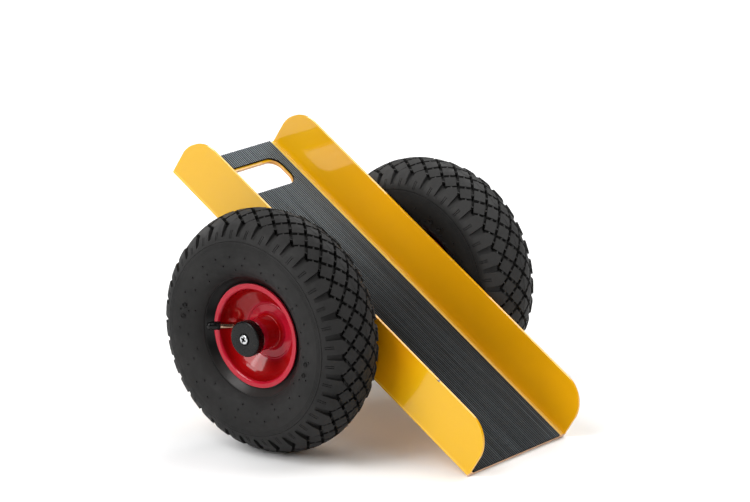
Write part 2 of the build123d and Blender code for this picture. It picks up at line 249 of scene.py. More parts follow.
def relief(tree, height, depth, strength):
    """A fine relief of the surface."""
    heights = {"Height": height, "Distance": depth, "Strength": strength}
    return add(tree, "ShaderNodeBump", heights).outputs[0]


def mix(tree, share, first, second):
    """One colour over another."""
    made = add(tree, "ShaderNodeMix", {}, data_type="RGBA")
    tree.links.new(share, made.inputs["Factor"])
    for socket, colour in ((6, first), (7, second)):
        fill(tree, made, {socket: colour if isinstance(colour, bpy.types.NodeSocket) else (*colour, 1)})
    return made.outputs[2]


powder_coat, tree, shader, at = new_finish("yellow_powder_coat")
on_tray, along, sideways, level = tray_place(tree, at)
from_middle = reckon(tree, "ABSOLUTE", sideways)
on_base = reach(tree, level, base_top + wear_and_light_full, base_top + wear_and_light_start, 1.0, 0.0)
above_sheet = reach(tree, level, base_top - wear_and_light_start, base_top - wear_and_light_full, 0.0, 1.0)
by_wall = reach(tree, from_middle, highlight_start, highlight_full, 0.0, 1.0)
in_fold_highlight = reach(tree, from_middle, fold_highlight_start, fold_highlight_full, 0.0, 1.0)
highlight_on_base = reckon(tree, "MULTIPLY", reckon(tree, "MULTIPLY", on_base, above_sheet), by_wall)
# A painted reflection: the cut edge at the low end is tinted peach.
low_edge_reflection = reach(tree, along, low_rim - wear_and_light_start, low_rim - wear_and_light_full, 0.0, 1.0)
low_edge_reflection = reckon(tree, "MULTIPLY", low_edge_reflection, on_base)
# A painted reflection: the cut edge round the hand hole is tinted peach.
from_hole = reckon(tree, "ABSOLUTE", reckon(tree, "SUBTRACT", along, hole_middle))
hole_half = hole_length / 2
hole_edge_reflection = reach(tree, from_hole, hole_half + hole_reflection_full, hole_half + hole_reflection_end, 1.0, 0.0)
hole_side = hole_width / 2
near_middle = reach(tree, from_middle, hole_side + hole_reflection_full, hole_side + hole_reflection_end, 1.0, 0.0)
hole_edge_reflection = reckon(tree, "MULTIPLY", hole_edge_reflection, near_middle)
wall_edge = reach(tree, level, wall_top - wear_and_light_start, wall_top - wear_and_light_full, 0.0, 1.0)
from_scuff = {0: on_tray, 1: scuff}
from_scuff = add(tree, "ShaderNodeVectorMath", from_scuff, operation="DISTANCE").outputs["Value"]
scuffed = reach(tree, from_scuff, scuff_core, scuff_reach, 0.2, 0.0)
worn = reach(tree, reckon(tree, "ADD", grain(tree, at, 190, 4.0), scuffed), 0.67, 0.71, 0.0, 1.0)
chip = reckon(tree, "MULTIPLY", wall_edge, worn)
# Painted light and shade on the walls' outer faces: a deep orange in the tyres' shade, paler tones towards
# both ends.
outer_side = tray_width / 2
outside = reach(tree, from_middle, outer_side - wear_and_light_start, outer_side - wear_and_light_full, 0.0, 1.0)
share_along = reach(tree, along, -0.25, 0.25, 0.0, 1.0)
high_end = reach(tree, share_along, 0.12, 0.32, 1.0, 0.0)
flank_end = reach(tree, share_along, 0.73, 0.82, 0.0, 1.0)
paint = tint(tree, grain(tree, at, 9, 4.0), (0.3, 0.735, 0.352, 0.0008), (0.7, 0.80, 0.388, 0.002))
paint = mix(tree, high_end, paint, (0.71, 0.376, 0.001))
flank_light_and_shade = tint(tree, share_along, (0.32, 0.675, 0.368, 0.001), (0.42, 0.76, 0.31, 0.001))
flank_light_and_shade = mix(tree, flank_end, flank_light_and_shade, (0.73, 0.402, 0.001))
paint = mix(tree, outside, paint, flank_light_and_shade)
# A painted highlight: the base beside the mat is painted a pale lemon, with a yellower line in the fold.
highlight_strip = tint(tree, share_along, (0.40, 1.0, 0.76, 0.13), (0.72, 1.0, 0.70, 0.22))
highlight_strip = mix(tree, in_fold_highlight, highlight_strip, (0.86, 0.50, 0.04))
paint = mix(tree, highlight_on_base, paint, highlight_strip)
paint = mix(tree, hole_edge_reflection, paint, (0.70, 0.36, 0.10))
paint = mix(tree, low_edge_reflection, paint, (0.72, 0.43, 0.25))
paint = mix(tree, chip, paint, (0.10, 0.075, 0.06))
powder_look = {
    "Base Color": paint,
    "Roughness": reach(tree, grain(tree, at, 45), 0.3, 0.7, 0.32, 0.42),
    "Normal": relief(tree, grain(tree, at, 900, 2.0), 0.0004, 0.10),
    "Specular IOR Level": 0.1,
    "Coat Weight": 0.85,
    "Coat Roughness": 0.05,
}
fill(tree, shader, powder_look)
tray.data.materials.append(powder_coat)
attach(tray, "chassis")
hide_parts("tray")

# Mat: a strip of black rubber with fine ribs along its length, glued to the base of the tray.
# Its corners are rounded and a slot in it clears the hand hole. Dust lies on the ribs, the valleys between
# them are painted in shade, and painted light and shade run along and across the mat.
mat_thickness = 0.0025
mat_end_gap = 0.0002
mat_length = low_reach + high_reach - 2 * mat_end_gap
mat_width = 0.1506
mat_side = -0.001
mat_corner = 0.0015
mat_gap = 0.002
slot_offset = 0.0015
slot_middle = hole_middle - slot_offset
rib_pitch = 0.00295
rib_foot = 0.0021
rib_height = 0.0009
rib_crest = 0.00145
rib_round = 0.00025
rib_count = 53
rib_trim = 0.002
join_gap = 0.00002
valley = base_top + mat_thickness - rib_height
first_rib = mat_side - rib_pitch * (rib_count - 1) / 2
bpy.ops.object.select_all(action="DESELECT")
bpy.ops.mesh.primitive_plane_add(size=1, location=(tray_middle, first_rib, valley))
mat = bpy.context.object
mat.name = "ribbed_mat"
mat.scale = (mat_length + 2 * rib_trim, rib_pitch, 1)
bpy.ops.object.transform_apply(location=True, rotation=True, scale=True)
bpy.ops.object.mode_set(mode="EDIT")
for edge_y in (first_rib - rib_foot / 2, first_rib + rib_foot / 2):
    bpy.ops.mesh.select_all(action="SELECT")
    bpy.ops.mesh.bisect(plane_co=(0, edge_y, 0), plane_no=(0, 1, 0))
pick(mat, "faces", lambda at: abs(at.y - first_rib) < touch)
bpy.ops.mesh.extrude_region_move(TRANSFORM_OT_translate={"value": (0, 0, rib_height)})
rib_middle = (tray_middle, first_rib, valley)
bpy.ops.transform.resize(value=(1, rib_crest / rib_foot, 1), center_override=rib_middle)
pick(mat, "edges", lambda at: at.z > valley + 0.9 * rib_height and abs(at.x - tray_middle) < touch)
bpy.ops.mesh.bevel(offset=rib_round, segments=2, affect="EDGES")
pick(mat, "faces", lambda at: abs(at.x - tray_middle) > mat_length / 2 + rib_trim - touch)
bpy.ops.mesh.delete(type="FACE")
bpy.ops.object.mode_set(mode="OBJECT")


def repeat(piece, count, step):
    """Repeats a piece a number of times in a row and joins the copies."""
    take(piece)
    copies = piece.modifiers.new("copies", "ARRAY")
    copies.count = count
    copies.use_relative_offset = False
    copies.use_constant_offset = True
    copies.constant_offset_displace = step
    copies.use_merge_vertices = True
    copies.merge_threshold = join_gap
    bpy.ops.object.modifier_apply(modifier=copies.name)


repeat(mat, rib_count, (0, rib_pitch, 0))
bpy.ops.object.mode_set(mode="EDIT")
bpy.context.tool_settings.mesh_select_mode = (False, True, False)
bpy.ops.mesh.select_all(action="DESELECT")
bpy.ops.mesh.select_non_manifold()
bpy.ops.mesh.extrude_edges_move(TRANSFORM_OT_translate={"value": (0, 0, -mat_thickness)})
bpy.ops.transform.resize(value=(1, 1, 0), center_override=(0, 0, base_top))
bpy.ops.mesh.edge_face_add()
bpy.ops.mesh.select_all(action="SELECT")
bpy.ops.mesh.normals_make_consistent(inside=False)
bpy.ops.object.mode_set(mode="OBJECT")
outline_middle = (tray_middle, mat_side, base_top)
cut(mat, rounded_block(mat_length, mat_width, cutter_height, mat_corner, outline_middle), "INTERSECT")
slot_length = hole_length + 2 * mat_gap
slot_width = hole_width + 2 * mat_gap
slot_corner = hole_corner + mat_gap
slot = rounded_block(slot_length, slot_width, cutter_height, slot_corner, (slot_middle, 0, base_top))
cut(mat, slot, "DIFFERENCE")
take(mat)
bpy.ops.object.shade_smooth_by_angle(angle=radians(30))
lay_on_tray(mat)

mat_rubber, tree, shader, at = new_finish("black_mat_rubber")
on_tray, along, sideways, level = tray_place(tree, at)
# Painted shade: the valleys between the ribs are painted near black, and only the crests carry the ribs'
# tones and dust.
crest = reach(tree, level, valley + 0.5 * rib_height, valley + 0.95 * rib_height, 0.0, 1.0)
each_rib = reckon(tree, "SNAP", sideways, rib_pitch)
streak = add(tree, "ShaderNodeCombineXYZ", {"X": along, "Y": each_rib}).outputs[0]
streak = add(tree, "ShaderNodeMapping", {"Vector": streak, "Scale": (6, 900, 1)}).outputs[0]
streaks = reach(tree, grain(tree, streak, 1.0, 4.0), 0.3, 0.7, 0.36, 0.64)
# Painted light and shade over the mat: lighter towards the high end, a painted sheen towards the low end,
# darker beside the right wall and lighter beside the left. The streaks along the ribs and the dust are
# real.
high_end_painted_light = reach(tree, along, -0.13, 0.03, 0.29, -0.18)
low_end_painted_sheen = reach(tree, along, 0.08, 0.25, 0.0, 0.18)
painted_shade_across = reach(tree, sideways, -0.07, 0.07, -0.10, 0.16)
dust_and_painted_light = reckon(tree, "ADD", reckon(tree, "ADD", high_end_painted_light, low_end_painted_sheen), painted_shade_across)
dust_and_painted_light = reckon(tree, "ADD", streaks, dust_and_painted_light)
shaded_rib = (0.25, 0.014, 0.0168, 0.019)
plain_rib = (0.60, 0.060, 0.071, 0.079)
dusty_lit_rib = (0.90, 0.15, 0.175, 0.192)
rib_tone = tint(tree, dust_and_painted_light, shaded_rib, plain_rib, dusty_lit_rib)
mat_look = {
    "Base Color": mix(tree, crest, (0.0025, 0.0027, 0.003), rib_tone),
    "Roughness": reach(tree, grain(tree, at, 300), 0.3, 0.7, 0.44, 0.58),
    "Normal": relief(tree, grain(tree, at, 1500, 2.0), 0.0002, 0.15),
    "Specular IOR Level": 0.1,
}
fill(tree, shader, mat_look)
mat.data.materials.append(mat_rubber)
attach(mat, "chassis")
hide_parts("deck_mat")

# Axle tube: a steel tube across the underside of the tray, held by a weld bead along each side
# of its line of contact. Tube and beads are coated with the tray.
bead_radius = 0.0029
bead_along = 0.0079
bead_level = 0.0110
bead_end_gap = 0.009
bead_reach = tray_width / 2 - bead_end_gap
ripple = 0.0034
ripple_rings = (0.96, 1.03, 1.08, 1.06)
ripple_step = ripple / len(ripple_rings)
nodes["axle_tube"].material_slots[0].material = powder_coat
beads = []
for way in (-1, 1):
    bpy.ops.object.select_all(action="DESELECT")
    bpy.ops.mesh.primitive_circle_add(
        vertices=14,
        radius=bead_radius,
        fill_type="NGON",
        location=(way * bead_along, -bead_reach, bead_level),
        rotation=(pi / 2, 0, 0),
    )
    bead = bpy.context.object
    bpy.ops.object.transform_apply(location=True, rotation=True, scale=True)
    bpy.ops.object.mode_set(mode="EDIT")
    bpy.ops.mesh.select_all(action="SELECT")
    width = 1.0
    for ring in range(int(2 * bead_reach / ripple_step)):
        bpy.ops.mesh.extrude_region_move(TRANSFORM_OT_translate={"value": (0, ripple_step, 0)})
        wanted = ripple_rings[ring % len(ripple_rings)]
        ring_middle = (way * bead_along, -bead_reach + (ring + 1) * ripple_step, bead_level)
        bpy.ops.transform.resize(value=(wanted / width, 1, wanted / width), center_override=ring_middle)
        width = wanted
    bpy.ops.mesh.select_all(action="SELECT")
    bpy.ops.mesh.normals_make_consistent(inside=False)
    bpy.ops.object.mode_set(mode="OBJECT")
    beads.append(bead)
bpy.ops.object.select_all(action="DESELECT")
for bead in beads:
    bead.select_set(True)
bpy.ops.object.join()
tube_bead = bpy.context.object
tube_bead.name = "tube_weld_beads"
bpy.ops.object.shade_smooth()
lay_on_tray(tube_bead)
tube_bead.data.materials.append(powder_coat)
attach(tube_bead, "chassis")
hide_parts("tube_welds")

# Axle: a bright drawn steel bar through the tube, with a zinc plated washer on each side of
# each hub. The bar's drawing lines run along it.
hands = ("left", "right")
drawn_steel, tree, shader, at = new_finish("drawn_steel")
streak = add(tree, "ShaderNodeMapping", {"Vector": at, "Scale": (900, 12, 900)})
lines = grain(tree, streak.outputs[0], 1.0, 3.0)
drawn_look = {
    "Base Color": tint(tree, lines, (0.3, 0.40, 0.40, 0.41), (0.7, 0.58, 0.58, 0.58)),
    "Roughness": reach(tree, lines, 0.3, 0.7, 0.22, 0.36),
    "Metallic": 1.0,
}
fill(tree, shader, drawn_look)
zinc_plate, tree, shader, at = new_finish("zinc_plate")
cloud = grain(tree, at, 130, 4.0)
zinc_look = {
    "Base Color": tint(tree, cloud, (0.3, 0.60, 0.61, 0.62), (0.7, 0.76, 0.77, 0.78)),
    "Roughness": reach(tree, cloud, 0.3, 0.7, 0.20, 0.32),
    "Normal": relief(tree, grain(tree, at, 1400, 2.0), 0.0001, 0.2),
    "Metallic": 1.0,
}
fill(tree, shader, zinc_look)
nodes["axle"].material_slots[0].material = drawn_steel
for hand in hands:
    for side in ("inner", "outer"):
        nodes[f"{hand}_{side}_washer"].material_slots[0].material = zinc_plate

# Rims: two bowls pressed from 2 mm steel, back to back on a tube hub and welded to it all
# round. They are sprayed a glossy red, painted darker inside the bowls as painted shade. The
# outer bowl has a hole for the valve.
wheel_offset = 0.1338
lip_radius = 0.0555
lip_face = 0.0262
rim_sheet = 0.002
bowl_mouth = 0.049
bowl_knee = 0.013
bowl_floor = 0.029
ridge = 0.0009
ridge_half = 0.0007
ridge_foot = 0.0012
rim_edge = 0.0005
bead_foot = 0.0034
bead_rise = 0.0052
bead_sink = 0.0004
bead_steps = 168
bead_swell = 0.00006
hub_radius = 0.0175
hub_bore = 0.015
hub_half = 0.031
hub_chamfer = 0.0006
hub_fit = 0.00005
valve_exit = Vector((0.038, 0, 0.00695))
valve_hole = 0.00365
drill_length = 0.02
same_spot = 0.000001
near_spot = 0.00001
valve_turns = {"left": radians(62), "right": radians(173.8)}
wheel_sides = {"left": 1, "right": -1}


def turned(name, profile, rounds, steps=144):
    """A piece turned about the wheel's axis from a profile of (radius, height) points.

    Each round is a point of the profile and how far from it the rounding of that corner starts.
    """
    bpy.ops.object.select_all(action="DESELECT")
    radius, height = profile[0]
    bpy.ops.mesh.primitive_circle_add(vertices=steps, radius=radius, location=(0, 0, height))
    piece = bpy.context.object
    piece.name = name
    bpy.ops.object.transform_apply(location=True, rotation=True, scale=True)
    bpy.ops.object.mode_set(mode="EDIT")
    bpy.ops.mesh.select_all(action="SELECT")
    for next_radius, next_height in profile[1:]:
        bpy.ops.mesh.extrude_edges_move(TRANSFORM_OT_translate={"value": (0, 0, next_height - height)})
        share = next_radius / radius
        bpy.ops.transform.resize(value=(share, share, 1), center_override=(0, 0, next_height))
        radius, height = next_radius, next_height
    bpy.ops.mesh.select_all(action="SELECT")
    bpy.ops.mesh.remove_doubles(threshold=same_spot)
    bpy.ops.mesh.normals_make_consistent(inside=False)
    chord = cos(pi / steps)
    for (corner_radius, corner_height), start in rounds:
        pick(
            piece,
            "edges",
            lambda at: abs(at.z - corner_height) < near_spot
            and abs(hypot(at.x, at.y) - corner_radius * chord) < near_spot,
        )
        bpy.ops.mesh.bevel(offset=start, segments=8, affect="EDGES")
    bpy.ops.object.mode_set(mode="OBJECT")
    return piece


def set_on_wheel(piece, hand, turn=0.0, flip=False):
    """Puts a piece that was modelled on the Z axis, from the wheel's middle out, on its wheel."""
    out = Vector((0, wheel_sides[hand], 0))
    spoke = Vector((cos(turn), 0, sin(turn)))
    facing = -out if flip else out
    way = Matrix((spoke, facing.cross(spoke), facing)).transposed().to_4x4()
    take(piece)
    piece.matrix_world = Matrix.Translation(axle_spot + wheel_offset * out) @ way
    bpy.ops.object.transform_apply(location=True, rotation=True, scale=True)


def another(piece, name):
    """A copy of a piece with its own mesh."""
    take(piece)
    bpy.ops.object.duplicate()
    copy = bpy.context.object
    copy.name = name
    return copy


bowl_line = (
    (lip_radius, lip_face),
    (bowl_mouth, lip_face),
    (bowl_mouth, bowl_knee),
    (bowl_floor + ridge_foot, rim_sheet + 0.0006),
    (bowl_floor + ridge_half, rim_sheet + ridge),
    (bowl_floor, rim_sheet + ridge),
    (bowl_floor - ridge_half, rim_sheet),
    (hub_radius + hub_fit, rim_sheet),
)
bowl_rounds = (
    ((bowl_mouth, lip_face), 0.0028),
    ((bowl_mouth, bowl_knee), 0.0068),
    ((bowl_floor + ridge_half, rim_sheet + ridge), 0.0003),
    ((bowl_floor, rim_sheet + ridge), 0.0003),
    ((bowl_floor - ridge_half, rim_sheet), 0.0004),
)
bowl = turned("rim_bowl", bowl_line, bowl_rounds)
take(bowl)
if bowl.data.polygons[0].normal.z < 0:
    bowl.data.flip_normals()
wall = bowl.modifiers.new("wall", "SOLIDIFY")
wall.thickness = rim_sheet
wall.offset = -1
bpy.ops.object.modifier_apply(modifier=wall.name)
valve_bowl = another(bowl, "rim_bowl_for_valve")
exit_lean = -atan2(bowl_knee - rim_sheet, bowl_mouth - bowl_floor)
bpy.ops.object.select_all(action="DESELECT")
bpy.ops.mesh.primitive_cylinder_add(
    vertices=40, radius=valve_hole, depth=drill_length, location=valve_exit, rotation=(0, exit_lean, 0)
)
cut(valve_bowl, bpy.context.object, "DIFFERENCE")
soften(bowl, rim_edge, 3, 50)
soften(valve_bowl, rim_edge, 3, 50)

red_enamel, tree, shader, at = new_finish("red_enamel")
sideways = add(tree, "ShaderNodeSeparateXYZ", {"Vector": at}).outputs["Y"]
from_middle = reckon(tree, "ABSOLUTE", sideways)
height = reckon(tree, "ABSOLUTE", reckon(tree, "SUBTRACT", from_middle, wheel_offset))
# Painted shade: between the bowl's floor and its lip the red is painted darker than on the faces.
inside = reach(tree, height, lip_face - 0.003, lip_face - 0.001, 1.0, 0.0)
off_floor = reach(tree, height, rim_sheet + 0.0006, rim_sheet + 0.0024, 0.0, 1.0)
painted_bowl_shade = reckon(tree, "MULTIPLY", inside, off_floor)
flow = grain(tree, at, 16, 3.0)
lit_red = tint(tree, flow, (0.3, 0.36, 0.005, 0.018), (0.7, 0.42, 0.0066, 0.024))
shaded_bowl_red = tint(tree, flow, (0.3, 0.30, 0.0024, 0.0032), (0.7, 0.36, 0.0034, 0.0048))
enamel_look = {
    "Base Color": mix(tree, painted_bowl_shade, lit_red, shaded_bowl_red),
    "Roughness": reach(tree, grain(tree, at, 60), 0.3, 0.7, 0.22, 0.30),
    "Normal": relief(tree, grain(tree, at, 500, 2.0), 0.0003, 0.06),
    "Specular IOR Level": 0.05,
    "Coat Weight": 0.52,
    "Coat Roughness": 0.09,
}
fill(tree, shader, enamel_look)

hub_line = (
    (hub_bore, -hub_half),
    (hub_radius - hub_chamfer, -hub_half),
    (hub_radius, hub_chamfer - hub_half),
    (hub_radius, hub_half - hub_chamfer),
    (hub_radius - hub_chamfer, hub_half),
    (hub_bore, hub_half),
    (hub_bore, -hub_half),
)
hub = turned("hub_tube", hub_line, (), 96)
take(hub)
bpy.ops.object.shade_smooth_by_angle(angle=radians(30))

bead_under = rim_sheet - 0.0005
bead_top = rim_sheet + bead_rise
bead_line = (
    (hub_radius - bead_sink, bead_under),
    (hub_radius - bead_sink, bead_top),
    (hub_radius + 0.0004, bead_top),
    (hub_radius + 0.0008, bead_top - 0.0004),
    (hub_radius + 0.0011, rim_sheet + 0.6 * bead_rise),
    (hub_radius + 0.0018, rim_sheet + 0.3 * bead_rise),
    (hub_radius + bead_foot, rim_sheet + 0.0002),
    (hub_radius + bead_foot, bead_under),
    (hub_radius - bead_sink, bead_under),
)
hub_bead = turned("hub_weld", bead_line, (), bead_steps)
take(hub_bead)
bpy.ops.object.mode_set(mode="EDIT")
for phase, swell in ((0, -bead_swell), (2, bead_swell)):
    pick(hub_bead, "verts", lambda at: round(atan2(at.y, at.x) / (2 * pi) * bead_steps) % 4 == phase)
    bpy.ops.transform.shrink_fatten(value=swell)
bpy.ops.object.mode_set(mode="OBJECT")
bpy.ops.object.shade_smooth_by_angle(angle=radians(50))

for pattern in (bowl, valve_bowl, hub, hub_bead):
    pattern.data.materials.append(red_enamel)
for hand in hands:
    for half, flip in (("outer", False), ("inner", True)):
        rim = another(bowl if flip else valve_bowl, f"{hand}_rim_bowl_{half}")
        set_on_wheel(rim, hand, valve_turns[hand], flip)
        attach(rim, f"{hand}_wheel")
        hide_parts(f"{hand}_rim_{half}")
        weld = another(hub_bead, f"{hand}_hub_weld_{half}")
        set_on_wheel(weld, hand, 0.0, flip)
        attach(weld, f"{hand}_wheel")
        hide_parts(f"{hand}_hub_welds")
    tube = another(hub, f"{hand}_hub")
    set_on_wheel(tube, hand)
    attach(tube, f"{hand}_wheel")
    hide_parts(f"{hand}_hub_tube")
for pattern in (bowl, valve_bowl, hub, hub_bead):
    bpy.data.objects.remove(pattern)

# Bearings: moulded nylon cages of steel rollers at both ends of each hub, and a nylon sleeve
# between them. The washers and caps close them in.
nylon, tree, shader, at = new_finish("natural_nylon")
nylon_look = {
    "Base Color": tint(tree, grain(tree, at, 90, 4.0), (0.3, 0.62, 0.59, 0.50), (0.7, 0.72, 0.70, 0.62)),
    "Roughness": reach(tree, grain(tree, at, 400), 0.3, 0.7, 0.42, 0.55),
}
fill(tree, shader, nylon_look)
for hand in hands:
    nodes[f"{hand}_bearing_cages"].material_slots[0].material = nylon
    nodes[f"{hand}_bearing_spacer"].material_slots[0].material = nylon
    nodes[f"{hand}_bearing_rollers"].material_slots[0].material = drawn_steel

# Tyres: moulded black rubber casings. Grooves cut the tread into diamonds, tied to each other by
# low bars, and notched lugs stand a little proud over the shoulders. Moulding stubs and pairs of
# ring marks dot each sidewall. One pitch is cut flat, repeated 34 times and rolled up.
pitch_count = 34
tread_radius = 0.130
pitch = 2 * pi * tread_radius / pitch_count
half_pitch = pitch / 2
row = 0.01056
groove_depth = 0.0048
groove_half = 0.22
tie_half = 0.095
tie_drop = 0.0004
shoulder_dip = 0.0022
dip_start = 0.008
apex_cut = 0.0298
notch_foot = 0.0043
notch_tip = 0.0027
notch_end = 0.0492
sipe_start = 0.0405
sipe_end = 0.0512
sipe_offset = 0.0012
sipe_half = 0.0004
sipe_depth = 0.0018
seam_half = 0.0002
widest_radius = 0.090
arc_end = 0.0699
crease = 0.1004
flank_turn = radians(55)
# Each arc of the section has its middle's height, its rise and its width.
crown_arc = (0.0, 0.040, 0.0445)
flank_arc = (0.0117, 0.0313, 0.0328)
liner_flank_arc = (0.012, 0.03295, 0.026)
liner_crown_arc = (0.0, 0.028, 0.038)
# Each turn of the bead has its place on the flat casing, its radius and its height.
bead_turns = (
    (crease, 0.06436, 0.03051),
    (0.1109, 0.0566, 0.0234),
    (0.1134, 0.0535, 0.0230),
    (0.1164, 0.05105, 0.0205),
    (0.1239, 0.05105, 0.0130),
    (0.1253, 0.05205, 0.0120),
    (0.1303, 0.05705, 0.0120),
)
bead_end = bead_turns[-1][0]
liner_start = 0.1803
liner_end = 0.2303
mark_sink = 0.0003
mark_height = 0.0016
stub_corners = 8
stub_radius = 0.0011
stub_taper = 0.7
# Each row of stubs has its place on the flat casing, its count and its first turn.
stub_rows = ((0.0722, 27, 0.1), (0.0815, 19, 0.2), (0.0885, 11, 0.45))
ring_corners = 16
ring_place = 0.0765
ring_count = 2
ring_turns = (2.12, 2.27)
ring_radius = 0.0024
ring_wall = 0.0008
ring_depth = 0.0015
tyre_turns = {"left": radians(5.0), "right": radians(41.94)}


def casing_point(s):
    """Where a distance s across the flat casing lies: radius, height and outward way."""
    side = -1 if s < 0 else 1
    s = abs(s)
    if s <= arc_end:
        turn = s / arc_end * pi / 2
        level, rise, width = crown_arc
    elif s <= crease:
        turn = pi / 2 + (s - arc_end) / (crease - arc_end) * flank_turn
        level, rise, width = flank_arc
    elif s <= bead_end:
        for (s0, r0, h0), (s1, r1, h1) in zip(bead_turns, bead_turns[1:]):
            if s <= s1:
                share = (s - s0) / (s1 - s0)
                return r0 + (r1 - r0) * share, side * (h0 + (h1 - h0) * share), 0.0, 0.0
    elif s <= liner_start:
        turn = pi - (s - bead_end) / (liner_start - bead_end) * pi / 2
        level, rise, width = liner_flank_arc
    else:
        turn = pi / 2 - (s - liner_start) / (liner_end - liner_start) * pi / 2
        level, rise, width = liner_crown_arc
    way = Vector((cos(turn) / rise, sin(turn) / width)).normalized()
    return widest_radius + rise * cos(turn), side * (level + width * sin(turn)), way.x, side * way.y


def slit(piece, test, spot, across):
    """Cuts the faces that pass a test along a line through a spot, square to a direction."""
    pick(piece, "faces", test)
    square = Vector((*across, 0)).normalized()
    bpy.ops.mesh.bisect(plane_co=(*spot, 0), plane_no=square, threshold=same_spot)


def sink(piece, test, depth):
    """Presses the faces that pass a test into the flat casing, or out of it if depth is negative."""
    pick(piece, "faces", test)
    bpy.ops.mesh.extrude_region_move(TRANSFORM_OT_translate={"value": (0, 0, -depth)})


def off_odd(value):
    """How far a value is from the nearest odd number."""
    return abs((value % 2) - 1)


def off_grooves(at):
    """How far a place on the flat casing is from the middles of the grooves that run each way."""
    return off_odd(at.x / half_pitch + at.y / row), off_odd(at.x / half_pitch - at.y / row)


def notch_half(y):
    """Half the width of a shoulder notch at a distance from the middle of the tread."""
    share = (abs(y) - apex_cut) / (notch_end - apex_cut)
    return notch_foot + (notch_tip - notch_foot) * share


def in_groove(at):
    """Whether a place on the flat casing is in a groove or a shoulder notch."""
    y = abs(at.y)
    if apex_cut < y < notch_end and abs(at.x) < notch_half(y):
        return True
    return y < 3 * row and min(off_grooves(at)) < groove_half


def on_tie(at):
    """Whether a place in a groove is on the bar that ties two diamonds."""
    nearer, farther = sorted(off_grooves(at))
    return abs(at.y) < apex_cut and nearer < groove_half and farther > 1 - tie_half


def in_sipe(at):
    """Whether a place on the flat casing is in one of the short slits of a lug."""
    from_sipe = abs(half_pitch - sipe_offset - abs(at.x))
    return sipe_start < abs(at.y) < sipe_end and from_sipe < 0.8 * sipe_half


bpy.ops.object.select_all(action="DESELECT")
bpy.ops.mesh.primitive_plane_add(size=1)
tyre = bpy.context.object
tyre.name = "tyre_casing"
tyre.scale = (pitch, 2 * liner_end, 1)
bpy.ops.object.transform_apply(location=True, rotation=True, scale=True)
bpy.ops.object.mode_set(mode="EDIT")
# The fine lines round each sidewall, by their places on the flat casing, have these depths.
line_depths = {0.0546: 0.0005, 0.0550: 0.0005, 0.0574: 0.0002, 0.0589: 0.0002, 0.0604: 0.0002}
line_depths.update({0.0994: 0.0006, 0.0998: 0.0006})
# The flat casing is slit at these places, so that it bends in short steps.
ring_spots = [seam_half, apex_cut, 3 * row, 0.0345, 0.0375, sipe_start, 0.0435, 0.0465, notch_end]
ring_spots += [sipe_end, *line_depths, 0.0542, 0.0554, 0.0571, 0.0577, 0.0586, 0.0592, 0.0601, 0.0607]
ring_spots += [0.0635, 0.0665, arc_end, 0.0735, 0.0775, 0.0815, 0.0855, 0.0895, 0.0935, 0.0965]
ring_spots += [0.0990, 0.1002, 0.1050, *[turn[0] for turn in bead_turns]]
ring_spots += [0.140, 0.150, 0.160, 0.170, liner_start, 0.193, 0.206, 0.218]
for ring_spot in ring_spots:
    for way in (-1, 1):
        slit(tyre, lambda at: True, (0, way * ring_spot), (0, 1))
for quarter in (-0.25, 0, 0.25):
    slit(tyre, lambda at: abs(at.y) > sipe_end, (quarter * pitch, 0), (1, 0))
for number in range(-4, 5):
    for slope in (-1, 1):
        for half in (groove_half, -groove_half) if number % 2 else (tie_half, -tie_half):
            spot = ((number + half) * half_pitch, 0)
            slit(tyre, lambda at: abs(at.y) < 3 * row, spot, (row, slope * half_pitch))
for way in (-1, 1):
    for slope in (-1, 1):
        spot = (slope * notch_foot, way * apex_cut)
        across = (notch_end - apex_cut, slope * way * (notch_foot - notch_tip))
        slit(tyre, lambda at: apex_cut < way * at.y < notch_end, spot, across)
        for side in (-1, 1):
            sipe = slope * (half_pitch - sipe_offset) + side * sipe_half
            slit(tyre, lambda at: sipe_start < way * at.y < sipe_end, (sipe, 0), (1, 0))
sink(tyre, lambda at: in_groove(at) and not on_tie(at), groove_depth)
sink(tyre, on_tie, tie_drop)
sink(tyre, lambda at: abs(at.y) < seam_half / 2 and at.z > -touch, -seam_half)
sink(tyre, in_sipe, sipe_depth)
pick(tyre, "faces", lambda at: abs(abs(at.x) - half_pitch) < near_spot)
bpy.ops.mesh.delete(type="FACE")
bpy.ops.object.mode_set(mode="OBJECT")
for corner in tyre.data.vertices:
    y = abs(corner.co.y)
    if y > apex_cut and corner.co.z < -groove_depth / 2:
        corner.co.z *= sqrt(max(0, 1 - (y - apex_cut) / (notch_end - apex_cut)))
    if abs(corner.co.x) / half_pitch + y / row < 3:
        corner.co.z -= shoulder_dip * min(1, max(0, (y - dip_start) / (apex_cut - dip_start)))
    for line_spot, depth in line_depths.items():
        if abs(y - line_spot) < touch / 2:
            corner.co.z = -depth
repeat(tyre, pitch_count, (pitch, 0, 0))
for corner in tyre.data.vertices:
    radius, height, out, up = casing_point(corner.co.y)
    turn = corner.co.x / tread_radius
    radius += out * corner.co.z
    corner.co = (radius * cos(turn), radius * sin(turn), height + up * corner.co.z)
bpy.ops.object.mode_set(mode="EDIT")
bpy.ops.mesh.select_all(action="SELECT")
bpy.ops.mesh.remove_doubles(threshold=join_gap)
bpy.ops.mesh.normals_make_consistent(inside=False)
bpy.ops.object.mode_set(mode="OBJECT")


